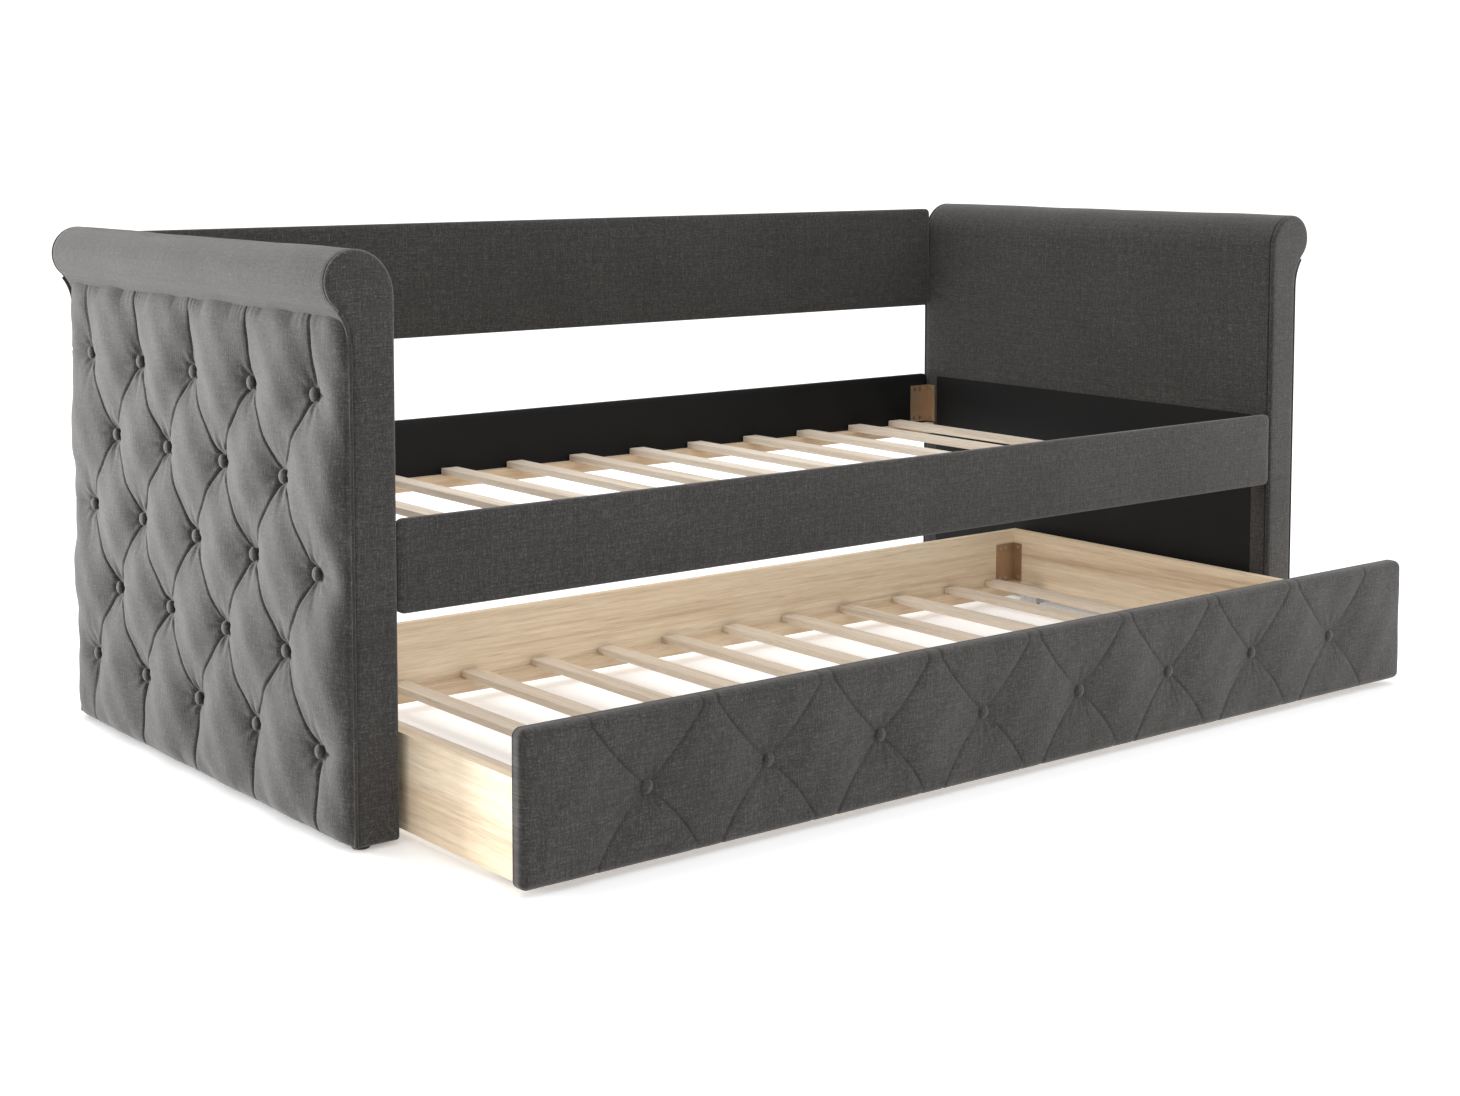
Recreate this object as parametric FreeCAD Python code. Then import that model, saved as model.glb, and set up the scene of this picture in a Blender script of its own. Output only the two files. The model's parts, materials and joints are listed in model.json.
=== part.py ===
import FreeCAD, Part
import math
import os

# Upholstered day bed with a trundle that rolls out from under it.
# X runs along the length, the front looks along -Y and Z is up. All sizes are in millimetres.
# The origin is the middle of the footprint, on the floor, with the trundle drawn out by trundle_out.
V = FreeCAD.Vector

# ---- driving dimensions: overall
inner_length = 2006.0       # between the two arms
arm_depth = 1010.0          # front to back
roll_top = 883.0            # highest point of the rolled arm
trundle_out = 320.0         # how far the trundle stands out of the bed here

# ---- arms
arm_face_width = 72.0       # width of the arm's front face, from the inner face to the welt
arm_bottom = 7.0            # height of the arm's underside above the floor
roll_radius = 47.0          # outer half of the roll
roll_overhang = 40.0        # roll past the front face's outer edge
inner_round_height = 70.0   # quarter ellipse from the roll's top down to the inner face
crease_angle = 70.0         # below level, where the roll meets the outer pad
cover_thickness = 3.0       # fabric and wadding on the arm's inner face
end_cap_thickness = 6.0     # padded front and back ends of the arm
lining_drop = 4.0           # the black lining ends this far under the rails' top
lining_inset = 42.0         # strips of fabric beside the lining, front and back
panel_thickness = 5.0       # inner and outer sheets of the arm's frame
post_width = 50.0           # posts and rails of the arm's frame, along X
post_depth = 60.0           # posts, along Y
arm_rail_height = 60.0      # rails of the arm's frame, along Z
pad_crown = 24.0            # how much further the pad swells in its middle
pad_border = 40.0           # width over which the pad rises to its crown

# ---- tufting buttons
button_radius = 11.0
button_height = 7.0
arm_button_recess = 18.0    # depth of the dimple that a button sits in
arm_dimple_radius = 30.0
arm_button_rows = 5         # rows alternate between this many buttons and one fewer
arm_button_end = 98.0       # from the arm's front and back to the nearest buttons
arm_button_low = 132.5      # height of the lowest row
arm_button_drop = 216.9     # from the roll's top to the highest row
trundle_button_count = 8
trundle_button_end = 215.0  # from the front board's ends to the nearest buttons
trundle_button_z = 121.0
trundle_button_recess = 7.0
trundle_dimple_radius = 22.0

# ---- feet
foot_radius = 14.0
foot_round = 2.0
foot_inset = 27.0           # from the arm's front and back faces
foot_side_inset = 19.0      # from the welt's line

# ---- rails and back panel
rail_bottom = 344.0
rail_height = 141.0
rail_thickness = 15.0
back_panel_bottom = 647.0
back_panel_height = 225.0
back_panel_thickness = 20.0
sleeve_thickness = 2.0      # fabric and wadding round a rail or panel
end_clearance = 0.5         # between a cover's or batten's end and the arm
board_corner_round = 12.0   # corners of the covered boards
back_bolt_radius = 3.0
back_bolt_grip = 30.0       # length of the bolt in each piece
back_bolt_depth = 11.0      # from the bed's back to the bolt's axis
back_bolt_inset = 45.0      # from the panel's bottom to the lower bolt
back_bolt_spacing = 80.0

# ---- slats
slat_count = 13
slat_width = 38.0
slat_thickness = 13.0
slat_first_gap = 57.0       # from the left arm to the first slat
slat_last_gap = 89.0        # from the last slat to the right arm
slat_last_pitch = 124.5     # the last slat stands closer to its neighbour
slat_end_gap = 4.0          # clears the corner brackets and their screws
slat_edge_round = 1.5
upper_slat_rise = 26.0      # from the rails' underside to the slats'
batten_width = 22.0
batten_height = 24.0

# ---- corner brackets and screws
bracket_thickness = 2.0
bracket_height = 85.0
bracket_wide = 55.0         # flange on the long board
bracket_narrow = 25.0       # flange on the short board or the arm
screw_radius = 2.0
screw_length = 12.0
screw_head_radius = 3.6
screw_head_height = 1.4
screw_inset = 9.0           # from a flange's edge to the screw
bracket_lift = 4.0          # from the slats' underside to the bracket

# ---- trundle
trundle_end_gap = 4.0       # between the trundle's front and each arm
trundle_bottom = 10.0
trundle_front_height = 227.0
trundle_board_thickness = 15.0
trundle_board_inset = 2.0   # board's edges inside the covered front's outline
trundle_pad_thickness = 10.0
trundle_pad_round = 6.0
trundle_side_height = 146.0
trundle_side_bottom = 15.0
trundle_side_thickness = 19.0
trundle_side_inset = 11.5   # side board's outer face inside the front board's end
trundle_back_thickness = 15.0

# ---- wheels
wheel_radius = 20.0
wheel_width = 16.0
wheel_round = 2.0
axle_radius = 3.0
axle_clearance = 0.05
wheel_side_gap = 2.0
wheel_setback = 70.0        # wheel's axis from the front and back boards
wheel_slat_gap = 4.0        # between the wheels and the slats over them
housing_wall = 2.0
housing_end_gap = 2.0
housing_bottom = 12.0
housing_slat_gap = 2.0
housing_ear = 16.0

# ---- places worked out from the sizes above
arm_inner = inner_length / 2
arm_edge = arm_inner + arm_face_width
overall_half = arm_edge + roll_overhang
bed_front = -(arm_depth + trundle_out) / 2 + trundle_out
bed_back = bed_front + arm_depth
trundle_front = bed_front - trundle_out
trundle_back = trundle_front + arm_depth
roll_centre_x = overall_half - roll_radius
roll_centre_z = roll_top - roll_radius
crease_x = roll_centre_x + roll_radius * math.cos(math.radians(crease_angle))
crease_z = roll_centre_z - roll_radius * math.sin(math.radians(crease_angle))
panel_inner = arm_inner + cover_thickness
post_inner = panel_inner + panel_thickness
post_outer = post_inner + post_width
pad_inner = post_outer + panel_thickness
frame_front = bed_front + end_cap_thickness
frame_back = bed_back - end_cap_thickness
top_rail_bottom = crease_z - arm_rail_height
lining_top = rail_bottom + rail_height - lining_drop
arm_button_pitch_y = (arm_depth - 2 * arm_button_end) / (arm_button_rows - 1)
arm_button_pitch_z = (roll_top - arm_button_drop - arm_button_low) / (arm_button_rows - 1)
front_rail_inner = bed_front + rail_thickness
back_rail_inner = bed_back - rail_thickness
upper_slat_bottom = rail_bottom + upper_slat_rise
trundle_slat_bottom = 2 * wheel_radius + wheel_slat_gap
housing_top = trundle_slat_bottom - housing_slat_gap
trundle_half = arm_inner - trundle_end_gap
trundle_button_pitch = 2 * (trundle_half - trundle_button_end) / (trundle_button_count - 1)
trundle_board_inner = trundle_front + trundle_pad_thickness + trundle_board_thickness
trundle_back_inner = trundle_back - trundle_back_thickness
trundle_side_outer = trundle_half - trundle_side_inset
trundle_side_inner = trundle_side_outer - trundle_side_thickness
slat_span = inner_length - slat_first_gap - slat_last_gap - slat_width
slat_pitch = (slat_span - slat_last_pitch) / (slat_count - 2)
slat_lefts = [-arm_inner + slat_first_gap + i * slat_pitch for i in range(slat_count - 1)]
slat_lefts.append(slat_lefts[-1] + slat_last_pitch)


def box(x0, x1, y0, y1, z0, z1):
    """A plain block between two corners."""
    low = V(min(x0, x1), min(y0, y1), z0)
    return Part.makeBox(abs(x1 - x0), abs(y1 - y0), z1 - z0, low)


def cylinder(radius, length, start, direction):
    return Part.makeCylinder(radius, length, start, direction)


def soften(shape, radius, direction=None):
    """Round a block's edges: all of them, or only those along one direction."""
    edges = shape.Edges
    if direction is not None:
        edges = [e for e in edges if abs(e.tangentAt(e.FirstParameter).dot(direction)) > 0.99]
    return shape.makeFillet(radius, edges)


def mirrored(shape):
    """The same piece on the other side of the bed."""
    return shape.mirror(V(0, 0, 0), V(1, 0, 0))


def save(name, *solids):
    """Write one piece, or one group of identical pieces, as a node."""
    shape = solids[0] if len(solids) == 1 else Part.makeCompound(list(solids))
    shape.exportStep(f"parts/{name}.step")


def screw(seat, inwards):
    """Pan-headed wood screw: its head stands on seat and its shank runs inwards."""
    head = cylinder(screw_head_radius, screw_head_height, seat - inwards * screw_head_height, inwards)
    return head.fuse(cylinder(screw_radius, screw_length, seat, inwards)).removeSplitter()


def cornerBracket(corner_x, corner_y, side, face, bottom):
    """Folded steel angle in a corner, and its screws.

    side is +1 in the right-hand corners, and face is +1 where the long board is at the back."""
    wide_x = corner_x - side * bracket_wide
    narrow_y = corner_y - face * bracket_narrow
    top = bottom + bracket_height
    wide = box(corner_x, wide_x, corner_y, corner_y - face * bracket_thickness, bottom, top)
    narrow = box(corner_x, corner_x - side * bracket_thickness, corner_y, narrow_y, bottom, top)
    angle = wide.fuse(narrow).removeSplitter()
    screws = []
    for height in (bottom + screw_inset, top - screw_inset):
        for across in (screw_inset, bracket_wide / 2):
            seat = V(wide_x + side * across, corner_y - face * bracket_thickness, height)
            screws.append(screw(seat, V(0, face, 0)))
        seat = V(corner_x - side * bracket_thickness, narrow_y + face * screw_inset, height)
        screws.append(screw(seat, V(side, 0, 0)))
    for piece in screws:
        angle = angle.cut(piece)
    return angle, screws


def drilled(shape, screws):
    """Take out of a piece the holes that its screws fill."""
    for piece in screws:
        if shape.BoundBox.intersect(piece.BoundBox):
            shape = shape.cut(piece)
    return shape


def sleeve(x0, x1, y0, y1, z0, z1):
    """Fabric drawn round a board, and the board inside it."""
    t = sleeve_thickness
    outside = soften(box(x0, x1, y0, y1, z0, z1), t * 1.5, V(1, 0, 0))
    board = soften(box(x0 + t, x1 - t, y0 + t, y1 - t, z0 + t, z1 - t), board_corner_round, V(0, 1, 0))
    return outside.cut(box(x0, x1, y0 + t, y1 - t, z0 + t, z1 - t)), board


def slat(left, y0, y1, bottom):
    return soften(box(left, left + slat_width, y0, y1, bottom, bottom + slat_thickness),
                  slat_edge_round, V(0, 1, 0))


def rollSection():
    """Outline of the roll above the frame: part circle outside, quarter ellipse inside."""
    crease = V(crease_x, 0, crease_z)
    top = V(roll_centre_x, 0, roll_top)
    corner = V(arm_inner, 0, roll_top - inner_round_height)
    foot = V(arm_inner, 0, crease_z)
    outer = Part.Arc(crease, V(overall_half, 0, roll_centre_z), top).toShape()
    tall = inner_round_height >= roll_centre_x - arm_inner
    longer, shorter = (top, corner) if tall else (corner, top)
    ellipse = Part.Ellipse(longer, shorter, V(roll_centre_x, 0, corner.z))
    inner = Part.ArcOfEllipse(ellipse, 0, math.pi / 2).toShape()
    ends = [Part.makeLine(corner, foot), Part.makeLine(foot, crease)]
    return Part.Face(Part.Wire(Part.__sortEdges__([outer, inner] + ends)))


# ---- one arm, built on the right and mirrored to the left
def armCover():
    """Roll, inner face and padded ends, sewn together as one cover."""
    roll = rollSection().extrude(V(0, arm_depth, 0))
    roll.translate(V(0, bed_front, 0))
    inner_leaf = box(arm_inner, panel_inner, bed_front, bed_back, lining_top, crease_z)
    low = arm_bottom
    front_strip = box(arm_inner, panel_inner, bed_front, bed_front + lining_inset, low, lining_top)
    back_strip = box(arm_inner, panel_inner, bed_back - lining_inset, bed_back, low, lining_top)
    front_cap = box(arm_inner, pad_inner, bed_front, frame_front, low, crease_z)
    back_cap = box(arm_inner, pad_inner, frame_back, bed_back, low, crease_z)
    return roll.fuse([inner_leaf, front_strip, back_strip, front_cap, back_cap]).removeSplitter()


def armButtonPlaces():
    """Rows of buttons, alternating, centred on the arm's depth."""
    middle = (bed_front + bed_back) / 2
    places = []
    for row in range(arm_button_rows):
        count = arm_button_rows - row % 2
        for column in range(count):
            y = middle + (column - (count - 1) / 2) * arm_button_pitch_y
            places.append((y, arm_button_low + row * arm_button_pitch_z))
    return places


def button(seat, outwards):
    """Covered button: a short drum with a domed top, standing on seat."""
    drum = cylinder(button_radius, button_height, seat, outwards)
    far = [e for e in drum.Edges if (e.CenterOfMass - seat).dot(outwards) > button_height * 0.9]
    return drum.makeFillet(button_height * 0.6, far)


def dimple(radius, depth, mouth, inwards):
    """The hollow that a button draws into the padding."""
    return Part.makeCone(radius, button_radius + 1, depth, mouth, inwards)


def swollenPad(x0, x1, rise, y0, y1, z0, z1, border):
    """Padding that rises from its edges to a flat crown, along +X."""
    base = box(x0, x1, y0, y1, z0, z1)
    low = Part.makePolygon([V(x1, y0, z0), V(x1, y1, z0), V(x1, y1, z1), V(x1, y0, z1), V(x1, y0, z0)])
    y2, y3, z2, z3 = y0 + border, y1 - border, z0 + border, z1 - border
    x2 = x1 + rise
    high = Part.makePolygon([V(x2, y2, z2), V(x2, y3, z2), V(x2, y3, z3), V(x2, y2, z3), V(x2, y2, z2)])
    return base.fuse(Part.makeLoft([low, high], True, True)).removeSplitter()


arm_seat = arm_edge + pad_crown - arm_button_recess
arm_places = armButtonPlaces()
arm_buttons = [button(V(arm_seat, y, z), V(1, 0, 0)) for y, z in arm_places]
outer_pad = swollenPad(pad_inner, arm_edge, pad_crown, bed_front, bed_back,
                       arm_bottom, crease_z, pad_border)
for y, z in arm_places:
    outer_pad = outer_pad.cut(dimple(arm_dimple_radius, arm_button_recess,
                                     V(arm_edge + pad_crown, y, z), V(-1, 0, 0)))

# ---- rails, back panel and their fixings
front_rail_cover, front_rail_board = sleeve(-arm_inner + end_clearance, arm_inner - end_clearance,
                                            bed_front, front_rail_inner,
                                            rail_bottom, rail_bottom + rail_height)
back_rail_cover, back_rail_board = sleeve(-arm_inner + end_clearance, arm_inner - end_clearance,
                                          back_rail_inner, bed_back,
                                          rail_bottom, rail_bottom + rail_height)
back_panel_cover, back_panel_board = sleeve(-arm_inner + end_clearance, arm_inner - end_clearance,
                                            bed_back - back_panel_thickness, bed_back,
                                            back_panel_bottom, back_panel_bottom + back_panel_height)

corner_brackets = []
bracket_screws = []
for side in (-1, 1):
    for face, corner_y in ((-1, front_rail_inner), (1, back_rail_inner)):
        angle, screws = cornerBracket(side * arm_inner, corner_y, side, face,
                                      upper_slat_bottom + bracket_lift)
        corner_brackets.append(angle)
        bracket_screws.extend(screws)

back_bolts = []
bolt_length = back_bolt_grip + post_inner - arm_inner + back_bolt_grip
for side in (-1, 1):
    for height in (back_bolt_inset, back_bolt_inset + back_bolt_spacing):
        start = V(side * (arm_inner - back_bolt_grip), bed_back - back_bolt_depth,
                  back_panel_bottom + height)
        back_bolts.append(cylinder(back_bolt_radius, bolt_length, start, V(side, 0, 0)))

fixings = bracket_screws + back_bolts

# ---- the arm's own pieces
arm_pieces = {
    "front_post": box(post_inner, post_outer, frame_front, frame_front + post_depth,
                      arm_bottom, crease_z),
    "back_post": box(post_inner, post_outer, frame_back - post_depth, frame_back,
                     arm_bottom, crease_z),
    "top_rail": box(post_inner, post_outer, frame_front + post_depth, frame_back - post_depth,
                    top_rail_bottom, crease_z),
    "bottom_rail": box(post_inner, post_outer, frame_front + post_depth, frame_back - post_depth,
                       arm_bottom, arm_bottom + arm_rail_height),
    "inner_panel": box(panel_inner, post_inner, frame_front, frame_back, arm_bottom, crease_z),
    "outer_panel": box(post_outer, pad_inner, frame_front, frame_back, arm_bottom, crease_z),
    "lining": box(arm_inner, panel_inner, bed_front + lining_inset, bed_back - lining_inset,
                  arm_bottom, lining_top),
    "cover": armCover(),
    "outer_pad": outer_pad,
}

os.makedirs("parts", exist_ok=True)
for name, piece in arm_pieces.items():
    save(f"right_arm_{name}", drilled(piece, fixings))
    save(f"left_arm_{name}", drilled(mirrored(piece), fixings))
save("arm_buttons", *arm_buttons, *[mirrored(b) for b in arm_buttons])

feet = []
foot_x = arm_edge - foot_side_inset
for x in (-foot_x, foot_x):
    for y in (bed_front + foot_inset, bed_back - foot_inset):
        foot = cylinder(foot_radius, arm_bottom, V(x, y, 0), V(0, 0, 1))
        floor_edge = [e for e in foot.Edges if e.CenterOfMass.z < foot_round]
        feet.append(foot.makeFillet(foot_round, floor_edge))
save("feet", *feet)

save("front_rail_cover", drilled(front_rail_cover, fixings))
save("front_rail_board", drilled(front_rail_board, fixings))
save("back_rail_cover", drilled(back_rail_cover, fixings))
save("back_rail_board", drilled(back_rail_board, fixings))
save("back_panel_cover", back_panel_cover)
save("back_panel_board", drilled(back_panel_board, back_bolts))
save("back_panel_bolts", *back_bolts)
save("corner_brackets", *corner_brackets)
save("bracket_screws", *bracket_screws)

# ---- slats on battens along the two rails
batten_low = upper_slat_bottom - batten_height
upper_battens = []
for y0, y1 in ((front_rail_inner, front_rail_inner + batten_width),
               (back_rail_inner - batten_width, back_rail_inner)):
    upper_battens.append(box(-arm_inner + end_clearance, arm_inner - end_clearance,
                             y0, y1, batten_low, upper_slat_bottom))
save("upper_slat_battens", *upper_battens)
for number, left in enumerate(slat_lefts, 1):
    save(f"upper_slat_{number:02d}", slat(left, front_rail_inner + slat_end_gap,
                                          back_rail_inner - slat_end_gap, upper_slat_bottom))

# ---- trundle box
trundle_brackets = []
trundle_screws = []
for side in (-1, 1):
    for face, corner_y in ((-1, trundle_board_inner), (1, trundle_back_inner)):
        angle, screws = cornerBracket(side * trundle_side_inner, corner_y, side, face,
                                      trundle_slat_bottom + bracket_lift)
        trundle_brackets.append(angle)
        trundle_screws.extend(screws)

wheel_ys = (trundle_board_inner + wheel_setback, trundle_back_inner - wheel_setback)
cheek_outer = trundle_side_inner
wheel_outer = cheek_outer - housing_wall - wheel_side_gap
wheel_inner = wheel_outer - wheel_width
cheek_inner = wheel_inner - wheel_side_gap - housing_wall
half_box = wheel_radius + housing_end_gap + housing_wall


def wheelHousing(y):
    """Open steel box round a wheel, with two ears that screw to the right-hand side board."""
    shell = box(cheek_inner, cheek_outer, y - half_box, y + half_box, housing_bottom, housing_top)
    hollow = box(cheek_inner + housing_wall, cheek_outer - housing_wall,
                 y - half_box + housing_wall, y + half_box - housing_wall, housing_bottom, housing_top)
    reach = half_box + housing_ear
    ears = box(cheek_outer - housing_wall, cheek_outer, y - reach, y + reach,
               trundle_side_bottom, housing_top)
    shell = shell.cut(hollow).fuse(ears.cut(hollow)).removeSplitter()
    screws = []
    for shift in (-1, 1):
        seat = V(cheek_outer - housing_wall, y + shift * (half_box + housing_ear / 2),
                 (trundle_side_bottom + housing_top) / 2)
        screws.append(screw(seat, V(1, 0, 0)))
    return shell, screws


def wheel(y):
    """Solid roller with rounded rims and a bored hub, its axis along X."""
    axis = V(1, 0, 0)
    start = V(wheel_inner, y, wheel_radius)
    roller = cylinder(wheel_radius, wheel_width, start, axis)
    roller = roller.makeFillet(wheel_round, [e for e in roller.Edges if e.Length > wheel_radius * 6])
    return roller.cut(cylinder(axle_radius + axle_clearance, wheel_width, start, axis))


housings = []
axles = []
for y in wheel_ys:
    shell, screws = wheelHousing(y)
    axle = cylinder(axle_radius, cheek_outer - cheek_inner, V(cheek_inner, y, wheel_radius), V(1, 0, 0))
    shell = drilled(shell.cut(axle), screws)
    housings.extend([shell, mirrored(shell)])
    axles.extend([axle, mirrored(axle)])
    trundle_screws.extend(screws + [mirrored(s) for s in screws])
save("wheel_housings", *housings)
save("wheel_axles", *axles)
for place, y in zip(("front", "back"), wheel_ys):
    save(f"wheel_{place}_right", wheel(y))
    save(f"wheel_{place}_left", mirrored(wheel(y)))

trundle_top = trundle_bottom + trundle_front_height
pad_back = trundle_front + trundle_pad_thickness
board_half = trundle_half - trundle_board_inset
front_board = soften(box(-board_half, board_half, pad_back, trundle_board_inner,
                         trundle_bottom + trundle_board_inset, trundle_top - trundle_board_inset),
                     board_corner_round, V(0, 1, 0))
front_pad = box(-trundle_half, trundle_half, trundle_front, pad_back, trundle_bottom, trundle_top)
front_pad = front_pad.makeFillet(trundle_pad_round, [e for e in front_pad.Edges
                                                     if e.CenterOfMass.y < trundle_front + 1])
trundle_buttons = []
for column in range(trundle_button_count):
    x = (column - (trundle_button_count - 1) / 2) * trundle_button_pitch
    front_pad = front_pad.cut(dimple(trundle_dimple_radius, trundle_button_recess,
                                     V(x, trundle_front, trundle_button_z), V(0, 1, 0)))
    seat = V(x, trundle_front + trundle_button_recess, trundle_button_z)
    trundle_buttons.append(button(seat, V(0, -1, 0)))
save("trundle_front_board", drilled(front_board, trundle_screws))
save("trundle_front_pad", front_pad)
save("trundle_buttons", *trundle_buttons)

side_top = trundle_side_bottom + trundle_side_height
side_board = box(trundle_side_inner, trundle_side_outer, trundle_board_inner, trundle_back,
                 trundle_side_bottom, side_top)
back_board = box(-trundle_side_inner, trundle_side_inner, trundle_back_inner, trundle_back,
                 trundle_side_bottom, side_top)
save("trundle_right_side", drilled(side_board, trundle_screws))
save("trundle_left_side", drilled(mirrored(side_board), trundle_screws))
save("trundle_back_board", drilled(back_board, trundle_screws))
save("trundle_corner_brackets", *trundle_brackets)
save("trundle_screws", *trundle_screws)

trundle_battens = []
for y0, y1 in ((trundle_board_inner, trundle_board_inner + batten_width),
               (trundle_back_inner - batten_width, trundle_back_inner)):
    trundle_battens.append(box(-trundle_side_inner, trundle_side_inner, y0, y1,
                               trundle_slat_bottom - batten_height, trundle_slat_bottom))
save("trundle_slat_battens", *trundle_battens)
save("trundle_slats", *[slat(left, trundle_board_inner + slat_end_gap,
                             trundle_back_inner - slat_end_gap, trundle_slat_bottom)
                        for left in slat_lefts])
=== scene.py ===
import json
import bmesh
import bpy
import numpy as np
from math import pi, radians
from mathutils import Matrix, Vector


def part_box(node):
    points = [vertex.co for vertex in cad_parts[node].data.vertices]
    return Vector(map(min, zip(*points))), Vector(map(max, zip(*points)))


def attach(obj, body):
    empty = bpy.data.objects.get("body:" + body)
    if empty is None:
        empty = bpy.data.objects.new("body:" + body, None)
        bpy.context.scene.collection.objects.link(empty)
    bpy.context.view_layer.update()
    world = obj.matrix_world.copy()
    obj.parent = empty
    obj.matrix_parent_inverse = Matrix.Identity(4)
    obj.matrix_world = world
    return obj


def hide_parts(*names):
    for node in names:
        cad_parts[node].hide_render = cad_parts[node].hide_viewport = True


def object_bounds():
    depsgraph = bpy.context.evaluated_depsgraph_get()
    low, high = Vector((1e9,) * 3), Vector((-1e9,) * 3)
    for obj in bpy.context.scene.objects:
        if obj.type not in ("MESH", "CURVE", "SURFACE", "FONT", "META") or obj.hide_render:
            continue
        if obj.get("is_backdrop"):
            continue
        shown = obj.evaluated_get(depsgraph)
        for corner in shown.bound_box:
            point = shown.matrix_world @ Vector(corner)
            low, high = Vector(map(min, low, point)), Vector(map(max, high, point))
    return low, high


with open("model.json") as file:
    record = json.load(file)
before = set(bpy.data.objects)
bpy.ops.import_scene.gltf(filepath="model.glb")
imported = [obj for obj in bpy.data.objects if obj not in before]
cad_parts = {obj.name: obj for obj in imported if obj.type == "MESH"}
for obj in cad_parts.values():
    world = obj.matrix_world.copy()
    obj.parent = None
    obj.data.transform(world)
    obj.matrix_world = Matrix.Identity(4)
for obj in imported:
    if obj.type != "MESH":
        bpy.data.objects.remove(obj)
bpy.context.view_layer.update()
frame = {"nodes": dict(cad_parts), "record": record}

scene = bpy.context.scene
nodes = frame["nodes"]

# making meshes from grids of points

def ramp(x, low, high):
    # smooth step: 3t^2 - 2t^3, with t running from 0 at low to 1 at high
    t = np.clip((x - low) / (high - low), 0.0, 1.0)
    return t * t * (3.0 - 2.0 * t)


def gridFaces(rows, cols, loopCols=False):
    # four corners of each square of a rows x cols grid; loopCols joins the last column to the first
    r = np.arange(rows - 1)[:, None] * cols
    c = np.arange(cols if loopCols else cols - 1)[None, :]
    n = (c + 1) % cols
    return np.stack([r + c, r + n, r + cols + n, r + cols + c], -1).reshape(-1, 4)


def border(grid):
    # a grid's values along its outline, once round
    return np.concatenate([grid[0, :], grid[1:, -1], grid[-1, -2::-1], grid[-2:0:-1, 0]])


def looksAway(points, faces, outward):
    side = points[faces]
    normal = np.cross(side[:, 1] - side[:, 0], side[:, 2] - side[:, 0])
    return (normal * np.asarray(outward, float)).sum() < 0


def makePiece(name, points, faces, cloth=None, paintedShade=None, closed=True, outward=None):
    # points (n,3) and faces become one object; cloth, (n,2) or (faces,corners,2), is the weave's map in
    # metres; the values after it, 0 to 1, are painted shade that darkens the colour deep in pleats, seams and
    # dimples
    points = np.asarray(points, float).reshape(-1, 3)
    faces = np.asarray(faces)
    corners = None
    if cloth is not None:
        cloth = np.asarray(cloth, float)
        corners = cloth if cloth.shape[:-1] == faces.shape else cloth.reshape(-1, 2)[faces]
    if outward is not None and looksAway(points, faces, outward):
        faces = faces[:, ::-1]
        corners = None if corners is None else corners[:, ::-1]
    mesh = bpy.data.meshes.new(name)
    mesh.from_pydata(points.tolist(), [], faces.tolist())
    if corners is not None:
        layer = mesh.uv_layers.new(name="cloth")
        layer.data.foreach_set("uv", corners.reshape(-1).astype(np.float32))
    # painted shade, kept as a point attribute that darkens the fabric's colour
    depth = mesh.attributes.new("paintedShade", "FLOAT", "POINT")
    shade = np.zeros(len(points)) if paintedShade is None else np.asarray(paintedShade, float).reshape(-1)
    depth.data.foreach_set("value", shade.astype(np.float32))
    work = bmesh.new()
    work.from_mesh(mesh)
    bmesh.ops.remove_doubles(work, verts=work.verts, dist=2e-6)
    bmesh.ops.dissolve_degenerate(work, edges=work.edges, dist=1e-7)
    if closed:
        bmesh.ops.recalc_face_normals(work, faces=work.faces)
    work.to_mesh(mesh)
    work.free()
    mesh.polygons.foreach_set("use_smooth", [True] * len(mesh.polygons))
    piece = bpy.data.objects.new(name, mesh)
    scene.collection.objects.link(piece)
    return piece


def joined(name, forms):
    # several forms, each (points, faces, cloth, painted shade), as one piece
    starts = np.cumsum([0] + [len(form[0]) for form in forms])
    points, faces, cloth, paintedShade = zip(*forms)
    faces = [one + start for one, start in zip(faces, starts)]
    return makePiece(name, *(np.concatenate(rows) for rows in (points, faces, cloth, paintedShade)))


def dress(piece, material, body, slot, *replaced):
    # gives a piece its finish, the body it rides on and the nodes it stands for
    piece.data.materials.clear()
    piece.data.materials.append(material)
    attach(piece, body)
    if replaced:
        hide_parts(*replaced)
    return piece


puffing = {"frames": 20, "pressure": 4.0, "cap": 0.020}


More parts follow.
